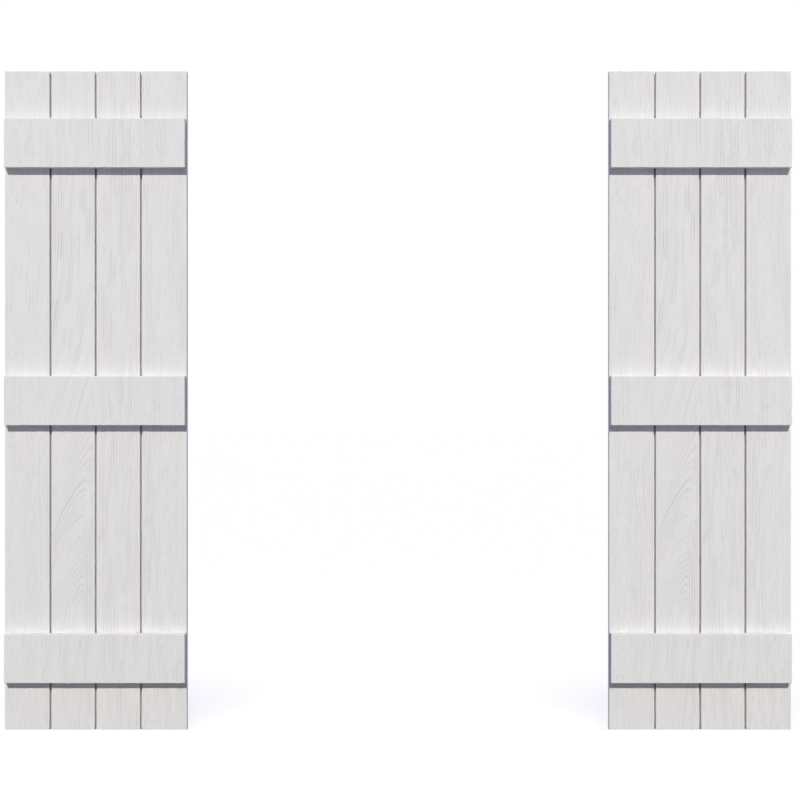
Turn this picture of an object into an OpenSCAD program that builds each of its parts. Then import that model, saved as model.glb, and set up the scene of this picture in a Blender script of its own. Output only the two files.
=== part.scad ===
// Pair of board and batten shutters, made to be fixed flat to a wall a set distance apart.
// Each shutter is a row of upright tongue and groove boards with an open reveal between their faces,
// held together by battens laid across the front and screwed on through the boards from the back.
// X runs along the wall, -Y is the side that shows and Z is up.
// The origin is at the bottom, midway between the two shutters and midway through their depth.

/* [Pair] */
// Height of each shutter
shutter_h = 1288; // [700:1:2400]
// Clear width between the two shutters
gap_w = 826; // [300:1:2400]
// Boards in each shutter
board_count = 4; // [2:1:7]

/* [Boards] */
// Face width of the boards at the two edges of a shutter
edge_face_w = 87.5; // [60:0.5:150]
// Face width of the boards between them
mid_face_w = 84.5; // [60:0.5:150]
// Thickness of the boards
board_t = 19; // [16:0.5:32]
// Radius of the eased front edges of the boards
board_ease = 1; // [0.5:0.25:2]
// Radius of the eased back edges of the boards
back_ease = 1; // [0.25:0.25:2]

/* [Board joints] */
// Width of the open reveal between two board faces
reveal_w = 4; // [2:0.5:10]
// Depth of the reveal, from the board faces down to the tongue
reveal_d = 9; // [4:0.5:9.5]
// Thickness of a tongue
tongue_t = 5; // [4:0.5:6]
// Length of a tongue inside its groove
tongue_l = 7; // [4:0.5:12]
// Radius of the rounded nose of a tongue
tongue_nose = 1.5; // [0.5:0.25:1.75]
// Slack between a tongue and each side of its groove
tongue_slack = 0.25; // [0.1:0.05:0.5]
// Space left past the nose of a tongue
tongue_end = 1; // [0.5:0.25:3]

/* [Battens] */
// Height of a batten
batten_h = 96; // [70:1:150]
// Thickness of a batten
batten_t = 19; // [16:0.5:32]
// Distance from the end of a batten to the edge of its shutter
batten_inset = 2; // [0:0.5:20]
// Distance from the top and bottom of a shutter to the nearest batten
batten_end = 94; // [10:1:180]
// Radius of the eased front edges of a batten
batten_ease = 0.75; // [0.5:0.25:3]

/* [Screws] */
// Diameter of the screw shanks
screw_d = 4.2; // [3.5:0.1:4.8]
// Diameter of the countersunk screw heads
head_d = 8.4; // [8:0.1:10]
// Height of the straight rim of a screw head
head_rim = 0.4; // [0.2:0.1:0.6]
// How far the screw heads sit below the back of the boards
head_sink = 0.5; // [0.2:0.1:1.5]
// Width of the square driver recess
drive_w = 2.6; // [2:0.1:2.8]
// Depth of the square driver recess
drive_d = 1.9; // [1:0.1:2.2]
// How far the screws reach into a batten
screw_bite = 13; // [8:0.5:14]
// Length of the screw point
point_l = 5; // [3:0.5:7]
// Height between the two screws of a board in one batten
screw_rise = 48; // [24:1:56]
// Clearance between a screw and its hole
screw_fit = 0.1; // [0.05:0.05:0.3]
// Space left past the point of a screw
pilot_end = 1; // [0.5:0.25:1.75]

/* [Hidden] */
$fn = 64;
// How far a cutter runs past the surface that it cuts
over = 1;

SIDES = ["left", "right"];
PLACES = ["bottom", "middle", "top"];
BOARD_NUMBERS = [1 : board_count];

shutter_w = 2 * edge_face_w + (board_count - 2) * mid_face_w + (board_count - 1) * reveal_w;
batten_l = shutter_w - 2 * batten_inset;
// Plane where the boards meet the battens, with the whole depth centred on the origin
face_y = (batten_t - board_t) / 2;
// Depth from the board faces to the back of a tongue
tongue_back = reveal_d + tongue_t;
head_cone = (head_d - screw_d) / 2;
screw_l = board_t - head_sink + screw_bite;
// Where the cone of a screw head meets its rim, from the point of the screw
cone_top = screw_l - head_rim;

function board_name(side, number) = str(side, "_board_", number);
function batten_name(side, place) = str(side, "_batten_", place);
function screws_name(side, place) = str(side, "_screws_", place);

function is_edge(number) = number == 1 || number == board_count;
function face_w(number) = is_edge(number) ? edge_face_w : mid_face_w;

// Distance from the outer edge of a shutter to the near and far edges and the middle of a board's face
function face_start(number) = number == 1 ? 0 : face_end(number - 1) + reveal_w;
function face_end(number) = face_start(number) + face_w(number);
function face_mid(number) = face_start(number) + face_w(number) / 2;

// Height of the lower edge of a batten
function batten_z(place) =
    place == "bottom" ? batten_end
    : place == "top" ? shutter_h - batten_end - batten_h
    : (shutter_h - batten_h) / 2;

// Heights of the two screws that each board has in a batten
function screw_heights(place) =
    [for (way = [-1, 1]) batten_z(place) + (batten_h + way * screw_rise) / 2];

// Puts a shutter, drawn from its outer edge at x = 0, on its side of the pair
module on_side(side) {
    mirror([side == "right" ? 1 : 0, 0, 0])
        translate([-gap_w / 2 - shutter_w, face_y, 0])
            children();
}

// What is cut from the corner at the origin of a shape in the first quadrant to round it
module corner_cut(radius) {
    difference() {
        translate([-over, -over])
            square(radius + over);
        translate([radius, radius])
            circle(radius);
    }
}

// Rectangle with both corners on its front edge rounded, the front edge along y = 0
module eased_rectangle(width, depth, radius) {
    difference() {
        square([width, depth]);
        corner_cut(radius);
        translate([width, 0])
            mirror([1, 0])
                corner_cut(radius);
    }
}

// Tongue that crosses the reveal and runs into the next board, its root at x = 0
module tongue() {
    reach = reveal_w + tongue_l;
    translate([reach, reveal_d])
        rotate(90)
            eased_rectangle(tongue_t, reach, tongue_nose);
}

// Cross-section of a board, with y = 0 at its face
module board_section(number) {
    has_groove = number > 1;
    has_tongue = number < board_count;
    lip = reveal_w / 2;
    back_start = face_start(number) - (has_groove ? lip : 0);
    back_end = face_end(number) + (has_tongue ? lip : 0);
    difference() {
        union() {
            translate([face_start(number), 0])
                eased_rectangle(face_w(number), board_t, board_ease);
            translate([back_start, tongue_back])
                square([back_end - back_start, board_t - tongue_back]);
            if (has_tongue)
                translate([face_end(number), 0])
                    tongue();
        }
        translate([back_start, board_t])
            mirror([0, 1])
                corner_cut(back_ease);
        translate([back_end, board_t])
            rotate(180)
                corner_cut(back_ease);
        if (has_groove)
            translate([face_start(number) - reveal_w, reveal_d - tongue_slack])
                square([reveal_w + tongue_l + tongue_end, tongue_t + 2 * tongue_slack]);
    }
}

// Countersunk screw on the z axis, its point at z = 0
module screw() {
    shank_r = screw_d / 2;
    difference() {
        rotate_extrude()
            polygon([
                [0, 0],
                [shank_r, point_l],
                [shank_r, cone_top - head_cone],
                [head_d / 2, cone_top],
                [head_d / 2, screw_l],
                [0, screw_l]
            ]);
        translate([0, 0, screw_l - drive_d])
            linear_extrude(drive_d + over)
                square(drive_w, center = true);
    }
}

// Pilot hole, clearance hole and countersink for a screw
module screw_hole() {
    hole_r = screw_d / 2 + screw_fit;
    rotate_extrude()
        polygon([
            [0, -pilot_end],
            [hole_r, -pilot_end],
            [hole_r, cone_top - head_cone],
            [hole_r + head_cone, cone_top],
            [hole_r + head_cone, screw_l + head_sink + over],
            [0, screw_l + head_sink + over]
        ]);
}

// Turns what is drawn on the z axis to point forwards into a batten, at each of its screws in a board
module at_screws(number, place) {
    for (z = screw_heights(place))
        translate([face_mid(number), -screw_bite, z])
            rotate([-90, 0, 0])
                children();
}

module board(side, number) {
    color("gainsboro")
        on_side(side)
            difference() {
                linear_extrude(shutter_h)
                    board_section(number);
                for (place = PLACES)
                    at_screws(number, place)
                        screw_hole();
            }
}

// Batten with its front edges and ends eased, made where its outlines from the end and from above meet
module batten(side, place) {
    color("whitesmoke")
        on_side(side)
            difference() {
                translate([batten_inset, -batten_t, batten_z(place)])
                    intersection() {
                        linear_extrude(batten_h)
                            eased_rectangle(batten_l, batten_t, batten_ease);
                        translate([batten_l, 0, 0])
                            rotate([0, -90, 0])
                                linear_extrude(batten_l)
                                    eased_rectangle(batten_h, batten_t, batten_ease);
                    }
                for (number = BOARD_NUMBERS)
                    at_screws(number, place)
                        screw_hole();
            }
}

module batten_screws(side, place) {
    color("silver")
        on_side(side)
            for (number = BOARD_NUMBERS)
                at_screws(number, place)
                    screw();
}

for (side = SIDES) {
    for (number = BOARD_NUMBERS)
        board(side, number);
    for (place = PLACES) {
        batten(side, place);
        batten_screws(side, place);
    }
}
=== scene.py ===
import bpy
import numpy as np
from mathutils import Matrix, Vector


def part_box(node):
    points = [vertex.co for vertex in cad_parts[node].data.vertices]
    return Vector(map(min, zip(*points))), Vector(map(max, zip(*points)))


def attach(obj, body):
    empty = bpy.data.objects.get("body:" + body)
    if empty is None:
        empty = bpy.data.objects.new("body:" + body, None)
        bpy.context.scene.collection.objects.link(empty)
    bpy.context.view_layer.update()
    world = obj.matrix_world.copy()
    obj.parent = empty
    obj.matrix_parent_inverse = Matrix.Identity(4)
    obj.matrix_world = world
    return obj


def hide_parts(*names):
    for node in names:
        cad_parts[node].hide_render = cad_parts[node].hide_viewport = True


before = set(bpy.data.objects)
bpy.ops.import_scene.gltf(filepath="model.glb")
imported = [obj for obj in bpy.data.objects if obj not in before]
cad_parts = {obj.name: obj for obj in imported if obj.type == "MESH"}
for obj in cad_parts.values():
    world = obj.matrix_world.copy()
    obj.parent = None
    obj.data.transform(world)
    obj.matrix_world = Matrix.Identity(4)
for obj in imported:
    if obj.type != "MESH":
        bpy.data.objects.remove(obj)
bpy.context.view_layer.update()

# Boards
# Upright boards of white cellular PVC, planed, and tongued and grooved along their long edges with an open
# reveal between the faces. Wood grain is pressed into the face by a roller, and the ends are sawn square.
MM = 0.001
SIDES = ("left", "right")
PLACES = ("bottom", "middle", "top")
EDGE_FACE_W = 87.5
MID_FACE_W = 84.5
FACE_WIDTHS = (EDGE_FACE_W, MID_FACE_W, MID_FACE_W, EDGE_FACE_W)
BOARD_COUNT = len(FACE_WIDTHS)
BOARD_EASE = 1.0
BACK_EASE = 1.0
REVEAL_W = 4.0
REVEAL_D = 9.0
TONGUE_T = 5.0
TONGUE_L = 7.0
TONGUE_NOSE = 1.5
TONGUE_SLACK = 0.25
TONGUE_END = 1.0
low, high = (np.array(corner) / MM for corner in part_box("left_board_1"))
SHUTTER_H = high[2]
FACE_Y = low[1]
BOARD_T = high[1] - low[1]
SHUTTER_W = sum(FACE_WIDTHS) + (BOARD_COUNT - 1) * REVEAL_W
SHUTTER_LEFT = {"left": low[0], "right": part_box(f"right_board_{BOARD_COUNT}")[0].x / MM}

# The mesh: points across the face, rows up it where the grain arches and where it runs straight, and steps
# round an eased edge. The grain fades out towards the edges of a face, and edges that turn more than the
# crease angle stay sharp. The arched board is counted from 0 at the left of a shutter.
ARCHED_BOARD = 1
COLUMN_STEP = 0.8
ARCH_ROW_STEP = 2.6
STRAIGHT_ROW_STEP = 6.0
EASE_STEPS = 3
EDGE_FADE = 2.5
CREASE = np.radians(40)


def between(start, end, share):
    """The value that lies a share of the way from start to end."""
    return start + (end - start) * share


def rise(value, low, high):
    """0 up to low, 1 from high on, with a smooth cubic step between."""
    t = np.clip((value - low) / (high - low), 0, 1)
    return t * t * (3 - 2 * t)


LATTICE = 256


def lattice_noise(across, along, seed):
    """Smooth noise from 0 to 1: random values on a whole-number lattice, eased from one to the next."""
    table = np.random.default_rng(seed).random((LATTICE, LATTICE))
    column = np.floor(across).astype(int)
    row = np.floor(along).astype(int)
    s = rise(across - column, 0, 1)
    t = rise(along - row, 0, 1)
    left = column % LATTICE
    right = (column + 1) % LATTICE
    near = row % LATTICE
    far = (row + 1) % LATTICE
    near_value = between(table[left, near], table[right, near], s)
    far_value = between(table[left, far], table[right, far], s)
    return between(near_value, far_value, t)


# The lines of the growth rings: how far their spacing varies, in rings, and over how many rings and what
# height it does, how narrow they are, the rings in a group and its height, how faint a faint group is, and
# the height over which the depth of a single ring changes. The pairs are the noise where a line is gone and
# where it is full, and the shifts only pick other values of the noise.
SPACING_VARIES = 0.5
SPACING_RINGS = 1.3
SPACING_L = 500.0
LINE_SHARPNESS = 1.6
BREAK_NOISE = (0.2, 0.7)
BREAK_SHIFT = 50
GROUP_RINGS = 3
GROUP_L = 170.0
GROUP_NOISE = (0.2, 0.65)
GROUP_SHIFT = 9
GROUP_FAINTEST = 0.5
SINGLE_L = 420.0


def ring_valleys(ring, z, seed, length, uneven):
    """One narrow valley for each whole number of the ring coordinate, unevenly spaced.

    Each is broken along z into stretches of about the length, and the rings come and go in groups. The depth
    of single rings differs by uneven from the shallowest to the deepest.
    """
    ring = ring + SPACING_VARIES * lattice_noise(ring / SPACING_RINGS, z / SPACING_L, seed)
    valley = (0.5 - 0.5 * np.cos(2 * np.pi * ring)) ** LINE_SHARPNESS
    broken = rise(lattice_noise(ring + BREAK_SHIFT, z / length, seed + 1), *BREAK_NOISE)
    group = rise(lattice_noise(ring / GROUP_RINGS + GROUP_SHIFT, z / GROUP_L, seed + 2), *GROUP_NOISE)
    single = 1 + uneven * (lattice_noise(ring + 0.5, z / SINGLE_L, seed + 3) - 0.5)
    return valley * broken * single * between(GROUP_FAINTEST, 1, group)


# The pressed grain: its depth, and how far the lines wander and quiver sideways, over what width and height.
PRESS_DEPTH = 0.55
WANDER = 6.0
WANDER_W = 60.0
WANDER_L = 210.0
WANDER_SHIFT = 3
WANDER_SEED = 1
QUIVER = 2.2
QUIVER_W = 16.0
QUIVER_L = 60.0
QUIVER_SEED = 2

# The arched lines: the band of the shutter's width that has them and how softly it starts and ends, the heart
# of the log that they close round, how far it moves aside and how far short of it they end, how round their
# heads are in ring widths, how wide the rings are, how long their lines and how uneven their depth.
ARCH_FROM = 84.0
ARCH_TO = 172.0
ARCH_FADE_IN = 8.0
ARCH_FADE_OUT = 9.0
HEART = 153.0
HEART_SHIFT = 45.0
HEART_MARGIN = 2.0
APEX_ROUND = 1.4
LEAN_APEX_ROUND = 3.8
ARCH_RING_W = 5.4
LEAN_RING_W = 5.0
ARCH_LINE_L = 45.0
ARCH_UNEVEN = 0.3
LEAN_UNEVEN = 1.2
ARCH_SEED = 31

# Heights between which the heart moves aside and the arches give way to leaning lines in their roundness,
# ring width and unevenness, and how many rings the grain climbs between two heights.
HEART_MOVES_Z = (400, 760)
APEX_LEANS_Z = (200, 420)
RINGS_LEAN_Z = (520, 760)
UNEVEN_LEANS_Z = (500, 600)
CLIMBS = ((5, -150, 420), (20, 190, 600), (4, 560, 800), (5, 640, 980))

# How bold the arched and leaning lines are at some heights: faint at both ends and round the middle batten.
ARCH_BOLD_Z = (80, 150, 280, 340, 440, 560, 690, 800, 1190, 1230)
ARCH_BOLD = (0.45, 0.75, 0.78, 0.9, 0.78, 0.55, 0.57, 1.0, 1.0, 0.56)

# The straight lines of the other boards.
STRAIGHT_RING_W = 5.2
STRAIGHT_LINE_L = 60.0
STRAIGHT_UNEVEN = 0.4
STRAIGHT_SEED = 41

# Bands of the shutter's width with bolder lines, each with its boldness, middle and half width, how sharply
# they end, and how faint the lines are outside them.
BOLD_BANDS = ((1.0, 132, 46), (0.8, 222, 36), (0.35, 312, 44))
BAND_SHARPNESS = 6
FAINTEST = 0.45

# The pores: their width and length, the noise where one starts and where it is full, their share of the depth
# on straight and on arched grain, and the patches in which they are fewer.
PORE_W = 1.9
PORE_L = 15.0
PORE_NOISE = (0.5, 0.95)
PORE_DEPTH = 0.6
ARCH_PORE_DEPTH = 0.25
PORE_SEED = 51
PATCH_W = 30.0
PATCH_L = 120.0
PATCH_FAINTEST = 0.35
PATCH_SEED = 61


def pressed_grain(u, z):
    """Depth in mm of the grain pressed into a shutter, u across from its left and z up.

    The lines are the growth rings of a log sawn through beside its heart. In the arched band the ring number
    is the distance from the heart in ring widths, rounded off at the heart, plus a climb with height, so the
    rings lean over and close in arches. Elsewhere the rings run straight up. Both wander a little and have
    short pores between.
    """
    wander = WANDER * (lattice_noise(u / WANDER_W + WANDER_SHIFT, z / WANDER_L, WANDER_SEED) - 0.5)
    quiver = QUIVER * (lattice_noise(u / QUIVER_W, z / QUIVER_L, QUIVER_SEED) - 0.5)
    across = u + (wander + quiver)
    heart = HEART + HEART_SHIFT * rise(z, *HEART_MOVES_Z)
    climb = sum(rings * rise(z, low, high) for rings, low, high in CLIMBS)
    apex_round = between(APEX_ROUND, LEAN_APEX_ROUND, rise(z, *APEX_LEANS_Z))
    ring_w = between(ARCH_RING_W, LEAN_RING_W, rise(z, *RINGS_LEAN_Z))
    arch_ring = np.sqrt(((heart - across) / ring_w) ** 2 + apex_round**2) + climb
    arch_end = np.minimum(heart - HEART_MARGIN, ARCH_TO)
    arched = rise(across, ARCH_FROM, ARCH_FROM + ARCH_FADE_IN)
    arched *= 1 - rise(across, arch_end, arch_end + ARCH_FADE_OUT)
    arch_uneven = between(ARCH_UNEVEN, LEAN_UNEVEN, rise(z, *UNEVEN_LEANS_Z))
    arch_bold = np.interp(z, ARCH_BOLD_Z, ARCH_BOLD)
    arches = ring_valleys(arch_ring, z, ARCH_SEED, ARCH_LINE_L, arch_uneven) * arch_bold
    straights = ring_valleys(across / STRAIGHT_RING_W, z, STRAIGHT_SEED, STRAIGHT_LINE_L, STRAIGHT_UNEVEN)
    bold = sum(most * np.exp(-(((u - middle) / half) ** BAND_SHARPNESS)) for most, middle, half in BOLD_BANDS)
    valleys = between(straights, arches, arched) * between(FAINTEST, 1, np.clip(bold, 0, 1))
    pores = rise(lattice_noise(across / PORE_W, z / PORE_L, PORE_SEED), *PORE_NOISE)
    pores *= between(PORE_DEPTH, ARCH_PORE_DEPTH, arched)
    pores *= between(PATCH_FAINTEST, 1, lattice_noise(u / PATCH_W, z / PATCH_L, PATCH_SEED))
    return PRESS_DEPTH * np.clip(valleys + pores * (1 - valleys), 0, 1)


def quarter_turn(centre, radius, start):
    """Points of a quarter circle about a centre, anticlockwise from the angle start in degrees."""
    turn = np.radians(start) + np.linspace(0, np.pi / 2, EASE_STEPS + 1)
    return np.array(centre) + radius * np.stack([np.cos(turn), np.sin(turn)], 1)


def board_outline(number):
    """Cross-section of a board, anticlockwise from above, x from the outer edge and y back from the face.

    It runs along the face from one eased edge to the other, round the tongue where there is one, along the
    back between its eased edges and round the groove where there is one. Also returns which points are on
    the face.
    """
    start = sum(FACE_WIDTHS[: number - 1]) + (number - 1) * REVEAL_W
    end = start + FACE_WIDTHS[number - 1]
    lip = REVEAL_W / 2
    tongue_back = REVEAL_D + TONGUE_T
    flat_w = end - start - 2 * BOARD_EASE
    face_x = start + BOARD_EASE + np.linspace(0, flat_w, round(flat_w / COLUMN_STEP) + 1)
    face = np.stack([face_x, np.zeros_like(face_x)], 1)
    near_ease = quarter_turn((start + BOARD_EASE, BOARD_EASE), BOARD_EASE, 180)[:-1]
    far_ease = quarter_turn((end - BOARD_EASE, BOARD_EASE), BOARD_EASE, 270)[1:]
    tongue = groove = np.empty((0, 2))
    back_start = start
    back_end = end
    if number < BOARD_COUNT:
        back_end = end + lip
        nose_x = end + REVEAL_W + TONGUE_L - TONGUE_NOSE
        tongue = np.concatenate([
            [[end, REVEAL_D]],
            quarter_turn((nose_x, REVEAL_D + TONGUE_NOSE), TONGUE_NOSE, 270),
            quarter_turn((nose_x, tongue_back - TONGUE_NOSE), TONGUE_NOSE, 0),
            [[back_end, tongue_back]],
        ])
    if number > 1:
        back_start = start - lip
        groove_x = start + TONGUE_L + TONGUE_END
        groove = np.array([
            [back_start, tongue_back + TONGUE_SLACK],
            [groove_x, tongue_back + TONGUE_SLACK],
            [groove_x, REVEAL_D - TONGUE_SLACK],
            [start, REVEAL_D - TONGUE_SLACK],
        ])
    back = np.concatenate([
        quarter_turn((back_end - BACK_EASE, BOARD_T - BACK_EASE), BACK_EASE, 0),
        quarter_turn((back_start + BACK_EASE, BOARD_T - BACK_EASE), BACK_EASE, 90),
    ])
    outline = np.concatenate([near_ease, face, far_ease, tongue, back, groove])
    on_face = np.zeros(len(outline), bool)
    on_face[len(near_ease) : len(near_ease) + len(face)] = True
    return outline, on_face


# Painted shade darkens the reveals below each batten: how far down it is full, and where it ends.
REVEAL_SHADE_FULL = 10.0
REVEAL_SHADE_REACH = 20.0


def shade_below_battens(side, z):
    """1 just below each batten and 0 lower down, with a smooth step: where the reveals get painted shade."""
    share = np.zeros_like(z)
    for place in PLACES:
        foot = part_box(f"{side}_batten_{place}")[0].z / MM
        share += rise(z, foot - REVEAL_SHADE_REACH, foot - REVEAL_SHADE_FULL) * (1 - rise(z, foot, foot + REVEAL_SHADE_FULL))
    return share


def board_surface(side, number, row_step):
    """The outline of a board carried up its height as a grid, its face pushed back by the pressed grain.

    The right shutter's outline is mirrored and run the other way, so that it still faces outwards. Returns
    the points, the faces, how deep each point lies in the grain and how much painted shade it has, both from
    0 to 1.
    """
    outline, on_face = board_outline(number)
    if side == "right":
        outline = (outline * [-1, 1] + [SHUTTER_W, 0])[::-1]
        on_face = on_face[::-1]
    z = np.linspace(0, SHUTTER_H, round(SHUTTER_H / row_step) + 1)
    u, up = np.meshgrid(outline[:, 0], z)
    edges = outline[on_face, 0]
    from_edge = np.minimum(u - edges.min(), edges.max() - u)
    depth = np.where(on_face, pressed_grain(u, up) * rise(from_edge, 0, EDGE_FADE), 0)
    points = np.stack([SHUTTER_LEFT[side] + u, FACE_Y + outline[:, 1] + depth, up], 2)
    in_reveal = np.abs(outline[:, 1] - REVEAL_D) <= TONGUE_SLACK
    # Only the reveals get the painted shade below the battens.
    reveal_shade = np.where(in_reveal, shade_below_battens(side, up), 0)
    return points.reshape(-1, 3), tube_faces(*u.shape), depth.ravel() / PRESS_DEPTH, reveal_shade.ravel()


def tube_faces(rows, columns):
    """Quads of a grid that closes on itself across its columns, and one flat face at each end of it."""
    index = np.arange(rows * columns).reshape(rows, columns)
    beside = np.roll(index, -1, 1)
    quads = np.stack([index[:-1], beside[:-1], beside[1:], index[1:]], 2).reshape(-1, 4)
    return quads.tolist() + [index[0, ::-1].tolist(), index[-1].tolist()]


def new_piece(name, points, faces, pressed=None, reveal_shade=None):
    """A mesh object at the origin from points in mm, with the grain's depth and the painted shade as
    attributes.
    """
    mesh = bpy.data.meshes.new(name)
    mesh.from_pydata((points * MM).tolist(), [], faces)
    for kind, values in (("pressed", pressed), ("reveal_shade", reveal_shade)):
        values = np.zeros(len(points)) if values is None else values
        mesh.attributes.new(kind, "FLOAT", "POINT").data.foreach_set("value", values.astype(np.float32))
    piece = bpy.data.objects.new(name, mesh)
    bpy.context.scene.collection.objects.link(piece)
    return piece


# The holes for the screws, from the back: countersink, clearance hole and pilot hole. The cutter for them
# runs on a little past the back.
SCREW_R = 2.1
HEAD_R = 4.2
HEAD_RIM = 0.4
HEAD_SINK = 0.5
SCREW_FIT = 0.1
SCREW_BITE = 13.0
PILOT_END = 1.0
SCREW_RISE = 48.0
HOLE_SIDES = 24
CUT_PAST = 1.0


def screw_places(side, place):
    """The x and z in mm of the screws of a batten: two in each board, at the middle of its face."""
    low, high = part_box(f"{side}_batten_{place}")
    widths = np.array(FACE_WIDTHS)
    x = SHUTTER_LEFT[side] + np.cumsum(widths + REVEAL_W) - REVEAL_W - widths / 2
    z = (low.z + high.z) / 2 / MM + SCREW_RISE / 2 * np.array([-1, 1])
    return np.stack(np.meshgrid(x, z, indexing="ij"), 2)


def bore(piece, places):
    """Cuts a screw hole out of a piece at each place: a stepped profile turned about the screw's axis."""
    back = FACE_Y + BOARD_T
    rim = back - HEAD_SINK - HEAD_RIM
    radius = np.array([SCREW_R, SCREW_R, HEAD_R, HEAD_R]) + SCREW_FIT
    depth = np.array([FACE_Y - SCREW_BITE - PILOT_END, rim - (HEAD_R - SCREW_R), rim, back + CUT_PAST])
    turn = np.linspace(0, 2 * np.pi, HOLE_SIDES, endpoint=False)
    x = np.outer(radius, np.cos(turn))
    z = -np.outer(radius, np.sin(turn))
    y = np.repeat(depth[:, None], HOLE_SIDES, 1)
    faces = tube_faces(*x.shape)
    holes = [np.stack([at_x + x, y, at_z + z], 2).reshape(-1, 3) for at_x, at_z in places]
    all_faces = [[i + n * x.size for i in face] for n in range(len(holes)) for face in faces]
    cutter = new_piece("holes", np.concatenate(holes), all_faces)
    cut = piece.modifiers.new("holes", "BOOLEAN")
    cut.object = cutter
    cut.solver = "EXACT"
    bored = piece.evaluated_get(bpy.context.evaluated_depsgraph_get())
    bored_mesh = bpy.data.meshes.new_from_object(bored)
    piece.modifiers.clear()
    piece.data = bored_mesh
    bpy.data.objects.remove(cutter)


def linear(hex_colour):
    """An sRGB hex colour as linear RGBA."""
    srgb = np.array([int(hex_colour[i : i + 2], 16) for i in (1, 3, 5)]) / 255
    rgb = np.where(srgb <= 0.04045, srgb / 12.92, ((srgb + 0.055) / 1.055) ** 2.4)
    return (*rgb.tolist(), 1.0)


def add(tree, kind, inputs=None, **settings):
    """Adds a node with its settings; each input is a value or the socket that feeds it."""
    made = tree.nodes.new(kind)
    for name, value in settings.items():
        setattr(made, name, value)
    for name, value in (inputs or {}).items():
        if isinstance(value, bpy.types.NodeSocket):
            tree.links.new(value, made.inputs[name])
        else:
            made.inputs[name].default_value = value
    return made


def new_material(name):
    """An empty node material and its tree."""
    material = bpy.data.materials.new(name)
    material.use_nodes = True
    material.node_tree.nodes.clear()
    return material, material.node_tree


# Grained face: a satin white skin, with painted shade down in the grain and in the low spots of the fibres,
# and fibres along the grain that break up the shine. The real fibres are too fine to show, so they are drawn
# several times as coarse.
PVC_WHITE = "#E2E1E0"
PVC_VALLEY_SHADE = "#CFCDCC"
PVC_IOR = 1.53
FIBRE_W = 3.2
FIBRE_L = 9.0
FIBRE_DEPTH = 0.8
grained_pvc, tree = new_material("grained_white_pvc")
spot = add(tree, "ShaderNodeTexCoord").outputs["Object"]
fibre_scale = 1 / (np.array([FIBRE_W, FIBRE_W, FIBRE_L]) * MM)
along = add(tree, "ShaderNodeMapping", {"Vector": spot, "Scale": fibre_scale})
fibres = add(tree, "ShaderNodeTexNoise", {"Vector": along.outputs["Vector"], "Scale": 1.0, "Detail": 3.0})
pressed = add(tree, "ShaderNodeAttribute", attribute_name="pressed")
pits = add(tree, "ShaderNodeMapRange", {
    "Value": fibres.outputs["Fac"],
    "From Min": 0.5,
    "From Max": 0.3,
    "To Max": 0.3,
})
shaded_spots = add(tree, "ShaderNodeMath", {
    0: pressed.outputs["Fac"],
    1: pits.outputs["Result"],
}, operation="MAXIMUM")
# Painted shade: the low spots of the grain and of the fibres are coloured darker.
colour = add(tree, "ShaderNodeMix", {
    "Factor": shaded_spots.outputs[0],
    "A": linear(PVC_WHITE),
    "B": linear(PVC_VALLEY_SHADE),
}, data_type="RGBA")
rough = add(tree, "ShaderNodeMapRange", {"Value": fibres.outputs["Fac"], "To Min": 0.58, "To Max": 0.76})
relief = add(tree, "ShaderNodeBump", {
    "Height": fibres.outputs["Fac"],
    "Strength": 0.8,
    "Distance": FIBRE_DEPTH * MM,
})
shader = add(tree, "ShaderNodeBsdfPrincipled", {
    "Base Color": colour.outputs["Result"],
    "Roughness": rough.outputs["Result"],
    "IOR": PVC_IOR,
    "Normal": relief.outputs["Normal"],
})
add(tree, "ShaderNodeOutputMaterial", {"Surface": shader.outputs["BSDF"]})

# Planed backs and edges: the same white without the grain, with faint lengthwise streaks from the moulder.
# Painted shade darkens the bottom of the reveals just below the battens.
STREAK_W = 2.5
STREAK_L = 500.0
STREAK_DEPTH = 0.05
PVC_PLANED = "#E2E0DC"
REVEAL_SHADE_COLOUR = "#35322F"
planed_pvc, tree = new_material("planed_white_pvc")
spot = add(tree, "ShaderNodeTexCoord").outputs["Object"]
streak_scale = 1 / (np.array([STREAK_W, STREAK_W, STREAK_L]) * MM)
along = add(tree, "ShaderNodeMapping", {"Vector": spot, "Scale": streak_scale})
streaks = add(tree, "ShaderNodeTexNoise", {"Vector": along.outputs["Vector"], "Scale": 1.0, "Detail": 2.0})
rough = add(tree, "ShaderNodeMapRange", {"Value": streaks.outputs["Fac"], "To Min": 0.38, "To Max": 0.54})
relief = add(tree, "ShaderNodeBump", {
    "Height": streaks.outputs["Fac"],
    "Strength": 0.4,
    "Distance": STREAK_DEPTH * MM,
})
reveal_shade = add(tree, "ShaderNodeAttribute", attribute_name="reveal_shade")
shade_share = add(tree, "ShaderNodeMapRange", {"Value": reveal_shade.outputs["Fac"], "From Max": 0.6})
# Painted shade: the reveals turn dark below the battens, where their shadow falls.
colour = add(tree, "ShaderNodeMix", {
    "Factor": shade_share.outputs["Result"],
    "A": linear(PVC_PLANED),
    "B": linear(REVEAL_SHADE_COLOUR),
}, data_type="RGBA")
shader = add(tree, "ShaderNodeBsdfPrincipled", {
    "Base Color": colour.outputs["Result"],
    "Roughness": rough.outputs["Result"],
    "IOR": PVC_IOR,
    "Normal": relief.outputs["Normal"],
})
add(tree, "ShaderNodeOutputMaterial", {"Surface": shader.outputs["BSDF"]})
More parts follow.
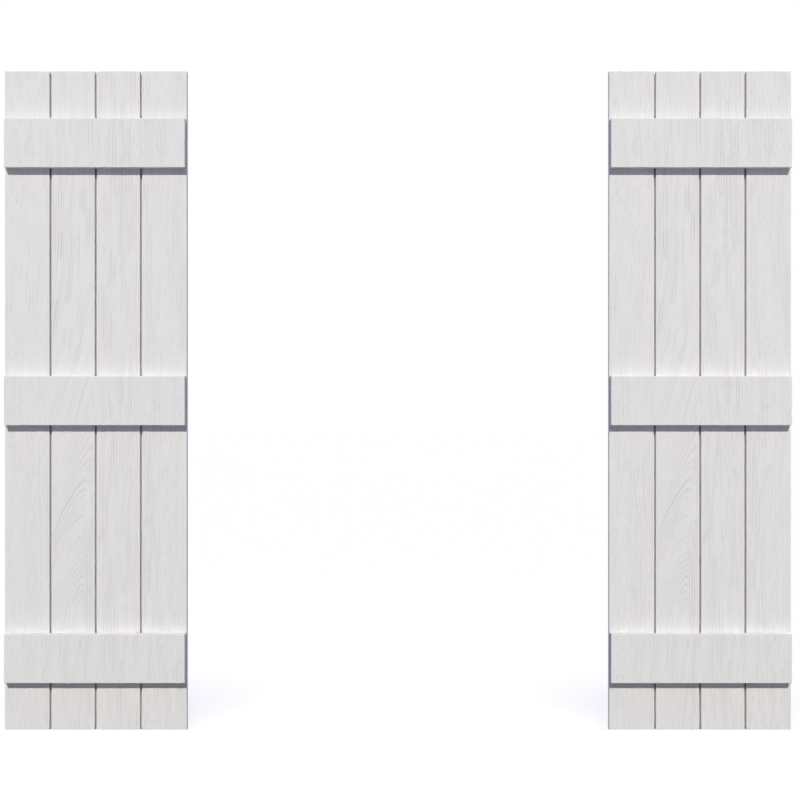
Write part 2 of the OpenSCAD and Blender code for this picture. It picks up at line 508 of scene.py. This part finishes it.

# Sawn ends: the cut opens the fine cells of the foam, so the ends are dull and faintly pitted, with painted
# shade in the pits.
CELL = 0.5
CELL_DEPTH = 0.1
PVC_SAWN = "#DCDAD9"
PVC_PIT_SHADE = "#C9C6C4"
sawn_pvc, tree = new_material("sawn_white_pvc")
spot = add(tree, "ShaderNodeTexCoord").outputs["Object"]
cells = add(tree, "ShaderNodeTexVoronoi", {"Vector": spot, "Scale": 1 / (CELL * MM)})
pits = add(tree, "ShaderNodeMapRange", {"Value": cells.outputs["Distance"], "From Min": 0.1, "From Max": 0.5})
# Painted shade: the pits are coloured darker than the rest of the sawn end.
colour = add(tree, "ShaderNodeMix", {
    "Factor": pits.outputs["Result"],
    "A": linear(PVC_PIT_SHADE),
    "B": linear(PVC_SAWN),
}, data_type="RGBA")
relief = add(tree, "ShaderNodeBump", {
    "Height": pits.outputs["Result"],
    "Strength": 0.6,
    "Distance": CELL_DEPTH * MM,
})
shader = add(tree, "ShaderNodeBsdfPrincipled", {
    "Base Color": colour.outputs["Result"],
    "Roughness": 0.8,
    "IOR": PVC_IOR,
    "Normal": relief.outputs["Normal"],
})
add(tree, "ShaderNodeOutputMaterial", {"Surface": shader.outputs["BSDF"]})

# The material slots of a piece, and how a face's normal tells what it is: turned this far to the front, up or
# down, or square to an axis.
GRAINED, PLANED, SAWN = range(3)
FRONT_NORMAL = -0.3
END_NORMAL = 0.9
SQUARE_NORMAL = 0.9999


def surface_materials(piece, sawn_ends):
    """Gives the front of a piece the grain and its other faces planed or sawn PVC.

    The front and the rounded edges are shaded smooth up to their creases, and the flat faces flat.
    """
    mesh = piece.data
    normals = np.empty(len(mesh.polygons) * 3, np.float32)
    mesh.polygons.foreach_get("normal", normals)
    normals = normals.reshape(-1, 3)
    slot = np.where(normals[:, 1] < FRONT_NORMAL, GRAINED, PLANED)
    smooth = (slot == GRAINED) | (np.abs(normals).max(1) < SQUARE_NORMAL)
    mesh.set_sharp_from_angle(angle=CREASE)
    mesh.polygons.foreach_set("use_smooth", smooth)
    if sawn_ends:
        slot[np.abs(normals[:, 2]) > END_NORMAL] = SAWN
    mesh.materials.clear()
    for material in (grained_pvc, planed_pvc, sawn_pvc):
        mesh.materials.append(material)
    mesh.polygons.foreach_set("material_index", slot.astype(np.int32))


shutters = {side: [] for side in SIDES}
for side in SIDES:
    holes = np.concatenate([screw_places(side, place) for place in PLACES], 1)
    for number in range(1, BOARD_COUNT + 1):
        from_left = number - 1 if side == "left" else BOARD_COUNT - number
        row_step = ARCH_ROW_STEP if from_left == ARCHED_BOARD else STRAIGHT_ROW_STEP
        board = new_piece(f"{side}_grained_board_{number}", *board_surface(side, number, row_step))
        bore(board, holes[from_left])
        surface_materials(board, sawn_ends=True)
        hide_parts(f"{side}_board_{number}")
        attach(board, "root")
        shutters[side].append(board)

# Battens
# Flat cross-pieces of the same grained PVC, with the grain running up and down across them and their front
# edges and ends eased. They lie on the faces of the boards and are screwed on from behind.
BATTEN_EASE = 0.75
BATTEN_ROW_STEP = 2.6


def eased_steps(length, step):
    """Places along a face from edge to edge: close together round each eased edge and even between."""
    edge = BATTEN_EASE * (1 - np.cos(np.linspace(0, np.pi / 2, EASE_STEPS + 1)))
    flat = length - 2 * BATTEN_EASE
    even = BATTEN_EASE + np.linspace(0, flat, round(flat / step) + 1)
    return np.concatenate([edge[:-1], even, length - edge[-2::-1]])


def eased_drop(distance):
    """How far a rounded edge has dropped below the face at a distance from the edge."""
    short = np.clip(BATTEN_EASE - distance, 0, BATTEN_EASE)
    return BATTEN_EASE - np.sqrt(BATTEN_EASE**2 - short**2)


def batten_surface(side, place):
    """Front of a batten as a grid over x and z, dropped at each eased edge and pushed back by the grain.

    The rim of the grid is carried straight back to the boards, and the loop there is closed by one flat face.
    Returns the points, the faces and how deep each point lies in the grain, from 0 to 1.
    """
    low, high = (np.array(corner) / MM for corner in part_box(f"{side}_batten_{place}"))
    x = eased_steps(high[0] - low[0], COLUMN_STEP)
    z = eased_steps(high[2] - low[2], BATTEN_ROW_STEP)
    across, up = np.meshgrid(x, z)
    from_end = np.minimum(across, x[-1] - across)
    from_rim = np.minimum(up, z[-1] - up)
    drop = np.maximum(eased_drop(from_end), eased_drop(from_rim))
    fade = rise(np.minimum(from_end, from_rim), BATTEN_EASE, BATTEN_EASE + EDGE_FADE)
    depth = pressed_grain(low[0] + across - SHUTTER_LEFT[side], low[2] + up) * fade
    front = np.stack([low[0] + across, low[1] + drop + depth, low[2] + up], 2).reshape(-1, 3)
    index = np.arange(len(front)).reshape(across.shape)
    quads = np.stack([index[:-1, :-1], index[:-1, 1:], index[1:, 1:], index[1:, :-1]], 2).reshape(-1, 4)
    rim = np.concatenate([index[0, :-1], index[:-1, -1], index[-1, :0:-1], index[:0:-1, 0]])
    behind = front[rim]
    behind[:, 1] = high[1]
    back = len(front) + np.arange(len(rim))
    sides = np.stack([rim, back, np.roll(back, -1), np.roll(rim, -1)], 1)
    faces = quads.tolist() + sides.tolist() + [back[::-1].tolist()]
    pressed = np.concatenate([depth.ravel() / PRESS_DEPTH, np.zeros(len(rim))])
    return np.concatenate([front, behind]), faces, pressed


for side in SIDES:
    for place in PLACES:
        batten = new_piece(f"{side}_grained_batten_{place}", *batten_surface(side, place))
        bore(batten, screw_places(side, place).reshape(-1, 2))
        surface_materials(batten, sawn_ends=False)
        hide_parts(f"{side}_batten_{place}")
        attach(batten, "root")
        shutters[side].append(batten)

# Screws
# Countersunk stainless steel screws with a square recess, driven from the back through each board into the
# batten, their heads a little below the back of the boards.
STEEL = "#C6C7C9"
HAZE = 0.6
screw_steel, tree = new_material("stainless_screw_steel")
spot = add(tree, "ShaderNodeTexCoord").outputs["Object"]
haze = add(tree, "ShaderNodeTexNoise", {"Vector": spot, "Scale": 1 / (HAZE * MM), "Detail": 3.0})
rough = add(tree, "ShaderNodeMapRange", {"Value": haze.outputs["Fac"], "To Min": 0.24, "To Max": 0.42})
shader = add(tree, "ShaderNodeBsdfPrincipled", {
    "Base Color": linear(STEEL),
    "Metallic": 1.0,
    "Roughness": rough.outputs["Result"],
})
add(tree, "ShaderNodeOutputMaterial", {"Surface": shader.outputs["BSDF"]})
for side in SIDES:
    for place in PLACES:
        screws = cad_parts[f"{side}_screws_{place}"]
        screws.data.materials.clear()
        screws.data.materials.append(screw_steel)
        shutters[side].append(screws)

# Floor
# A plain white sheet that the pair stands on, with their soft shadow on it. For the light that it throws
# back up its colour is a little warm, with painted shade darkening it near the pair and less farther out. Its
# span and its reaches are in metres.
FLOOR_SPAN = 40.0
FLOOR_GLOW = 0.55
FLOOR_SEEN = "#E2DFD8"
BOUNCE_NEAR_SHADED = "#807972"
BOUNCE_FAR = "#B5AEA5"
NEAR_REACH = 0.8
FAR_REACH = 1.8
corners = np.array([[-1, -1, 0], [1, -1, 0], [1, 1, 0], [-1, 1, 0]]) * FLOOR_SPAN / MM
floor = new_piece("floor", corners, [[0, 1, 2, 3]])


def seen_directly(tree):
    """A socket: 1 for what shows to the camera, in a mirror or through glass, and 0 for thrown light."""
    path = add(tree, "ShaderNodeLightPath").outputs
    seen = path["Is Camera Ray"]
    for ray in ("Is Glossy Ray", "Is Transmission Ray"):
        seen = add(tree, "ShaderNodeMath", {0: seen, 1: path[ray]}, operation="MAXIMUM").outputs[0]
    return seen


paper, tree = new_material("white_paper_floor")
seen = seen_directly(tree)
spot = add(tree, "ShaderNodeTexCoord").outputs["Object"]
distance = add(tree, "ShaderNodeVectorMath", {0: spot}, operation="LENGTH")
far = add(tree, "ShaderNodeMapRange", {
    "Value": distance.outputs["Value"],
    "From Min": NEAR_REACH,
    "From Max": FAR_REACH,
})
# Painted shade: for thrown light the floor is darker near the pair than farther out.
bounce = add(tree, "ShaderNodeMix", {
    "Factor": far.outputs["Result"],
    "A": linear(BOUNCE_NEAR_SHADED),
    "B": linear(BOUNCE_FAR),
}, data_type="RGBA")
tint = add(tree, "ShaderNodeMix", {
    "Factor": seen,
    "A": bounce.outputs["Result"],
    "B": linear(FLOOR_SEEN),
}, data_type="RGBA")
glow = add(tree, "ShaderNodeMath", {0: seen, 1: FLOOR_GLOW}, operation="MULTIPLY")
sheet = add(tree, "ShaderNodeBsdfDiffuse", {"Color": tint.outputs["Result"]})
bright = add(tree, "ShaderNodeEmission", {"Strength": glow.outputs[0]})
both = add(tree, "ShaderNodeAddShader", {0: sheet.outputs[0], 1: bright.outputs[0]})
add(tree, "ShaderNodeOutputMaterial", {"Surface": both.outputs[0]})
floor.data.materials.append(paper)

# Light
# Each shutter has a key lamp, high in front on its outer side, and a softer lamp behind it, and the floor has
# one of its own. A bluish sky fills the shadows, and the camera sees plain white past the pair.
KEY_AIM = (0.237, -1.0, 0.68)
KEY_STRENGTH = 2.78
KEY_ANGLE = 0.6
BACK_AIM = (0.9, 1.0, 0.7)
BACK_STRENGTH = 3.0
BACK_ANGLE = 12.0
FLOOR_AIM = (0.0, -0.4, 1.0)
FLOOR_STRENGTH = 1.2
FLOOR_ANGLE = 25.0
LAMP_COLOUR = "#FFFCEF"
SKY = "#C0CBFF"
SKY_HORIZON = 0.5
SKY_ZENITH = 0.40


def add_lamp(name, aim, strength, angle, pieces):
    """A distant lamp in the direction aim, its angle in degrees, that lights only some pieces."""
    lit = bpy.data.collections.new(f"lit_by_{name}")
    for piece in pieces:
        lit.objects.link(piece)
    lamp = bpy.data.lights.new(name, "SUN")
    lamp.energy = strength
    lamp.angle = np.radians(angle)
    lamp.color = linear(LAMP_COLOUR)[:3]
    placed = bpy.data.objects.new(name, lamp)
    bpy.context.scene.collection.objects.link(placed)
    placed.rotation_euler = Vector(aim).to_track_quat("Z", "Y").to_euler()
    placed.light_linking.receiver_collection = lit


for side, outward in zip(SIDES, (-1, 1)):
    to_side = np.array([outward, 1, 1])
    add_lamp(f"{side}_key", KEY_AIM * to_side, KEY_STRENGTH, KEY_ANGLE, shutters[side])
    add_lamp(f"{side}_back", BACK_AIM * to_side, BACK_STRENGTH, BACK_ANGLE, shutters[side])
add_lamp("floor_lamp", FLOOR_AIM, FLOOR_STRENGTH, FLOOR_ANGLE, [floor])

world = bpy.data.worlds.new("studio")
world.use_nodes = True
tree = world.node_tree
tree.nodes.clear()
way = add(tree, "ShaderNodeTexCoord").outputs["Generated"]
up = add(tree, "ShaderNodeSeparateXYZ", {"Vector": way}).outputs["Z"]
level = add(tree, "ShaderNodeMapRange", {"Value": up, "To Min": SKY_HORIZON, "To Max": SKY_ZENITH})
sky = add(tree, "ShaderNodeBackground", {"Color": linear(SKY), "Strength": level.outputs["Result"]})
white = add(tree, "ShaderNodeBackground", {"Color": (1, 1, 1, 1), "Strength": 1.0})
mixed = add(tree, "ShaderNodeMixShader", {0: seen_directly(tree), 1: sky.outputs[0], 2: white.outputs[0]})
add(tree, "ShaderNodeOutputWorld", {"Surface": mixed.outputs[0]})
bpy.context.scene.world = world
bpy.context.scene.view_settings.view_transform = "Standard"

# Camera
# Square on to the pair and level with the middle of the shutters. Its distances are in metres.
CAMERA_AWAY = 3.57
FRAME_W = 1.565
CAMERA_RIGHT = 0.004
CAMERA_RAISE = 0.00125
lens = bpy.data.cameras.new("camera")
lens.lens = lens.sensor_width * CAMERA_AWAY / FRAME_W
camera = bpy.data.objects.new("camera", lens)
bpy.context.scene.collection.objects.link(camera)
camera.location = (CAMERA_RIGHT, FACE_Y * MM - CAMERA_AWAY, SHUTTER_H * MM / 2 + CAMERA_RAISE)
camera.rotation_euler = (np.pi / 2, 0, 0)
bpy.context.scene.camera = camera

bpy.context.view_layer.update()
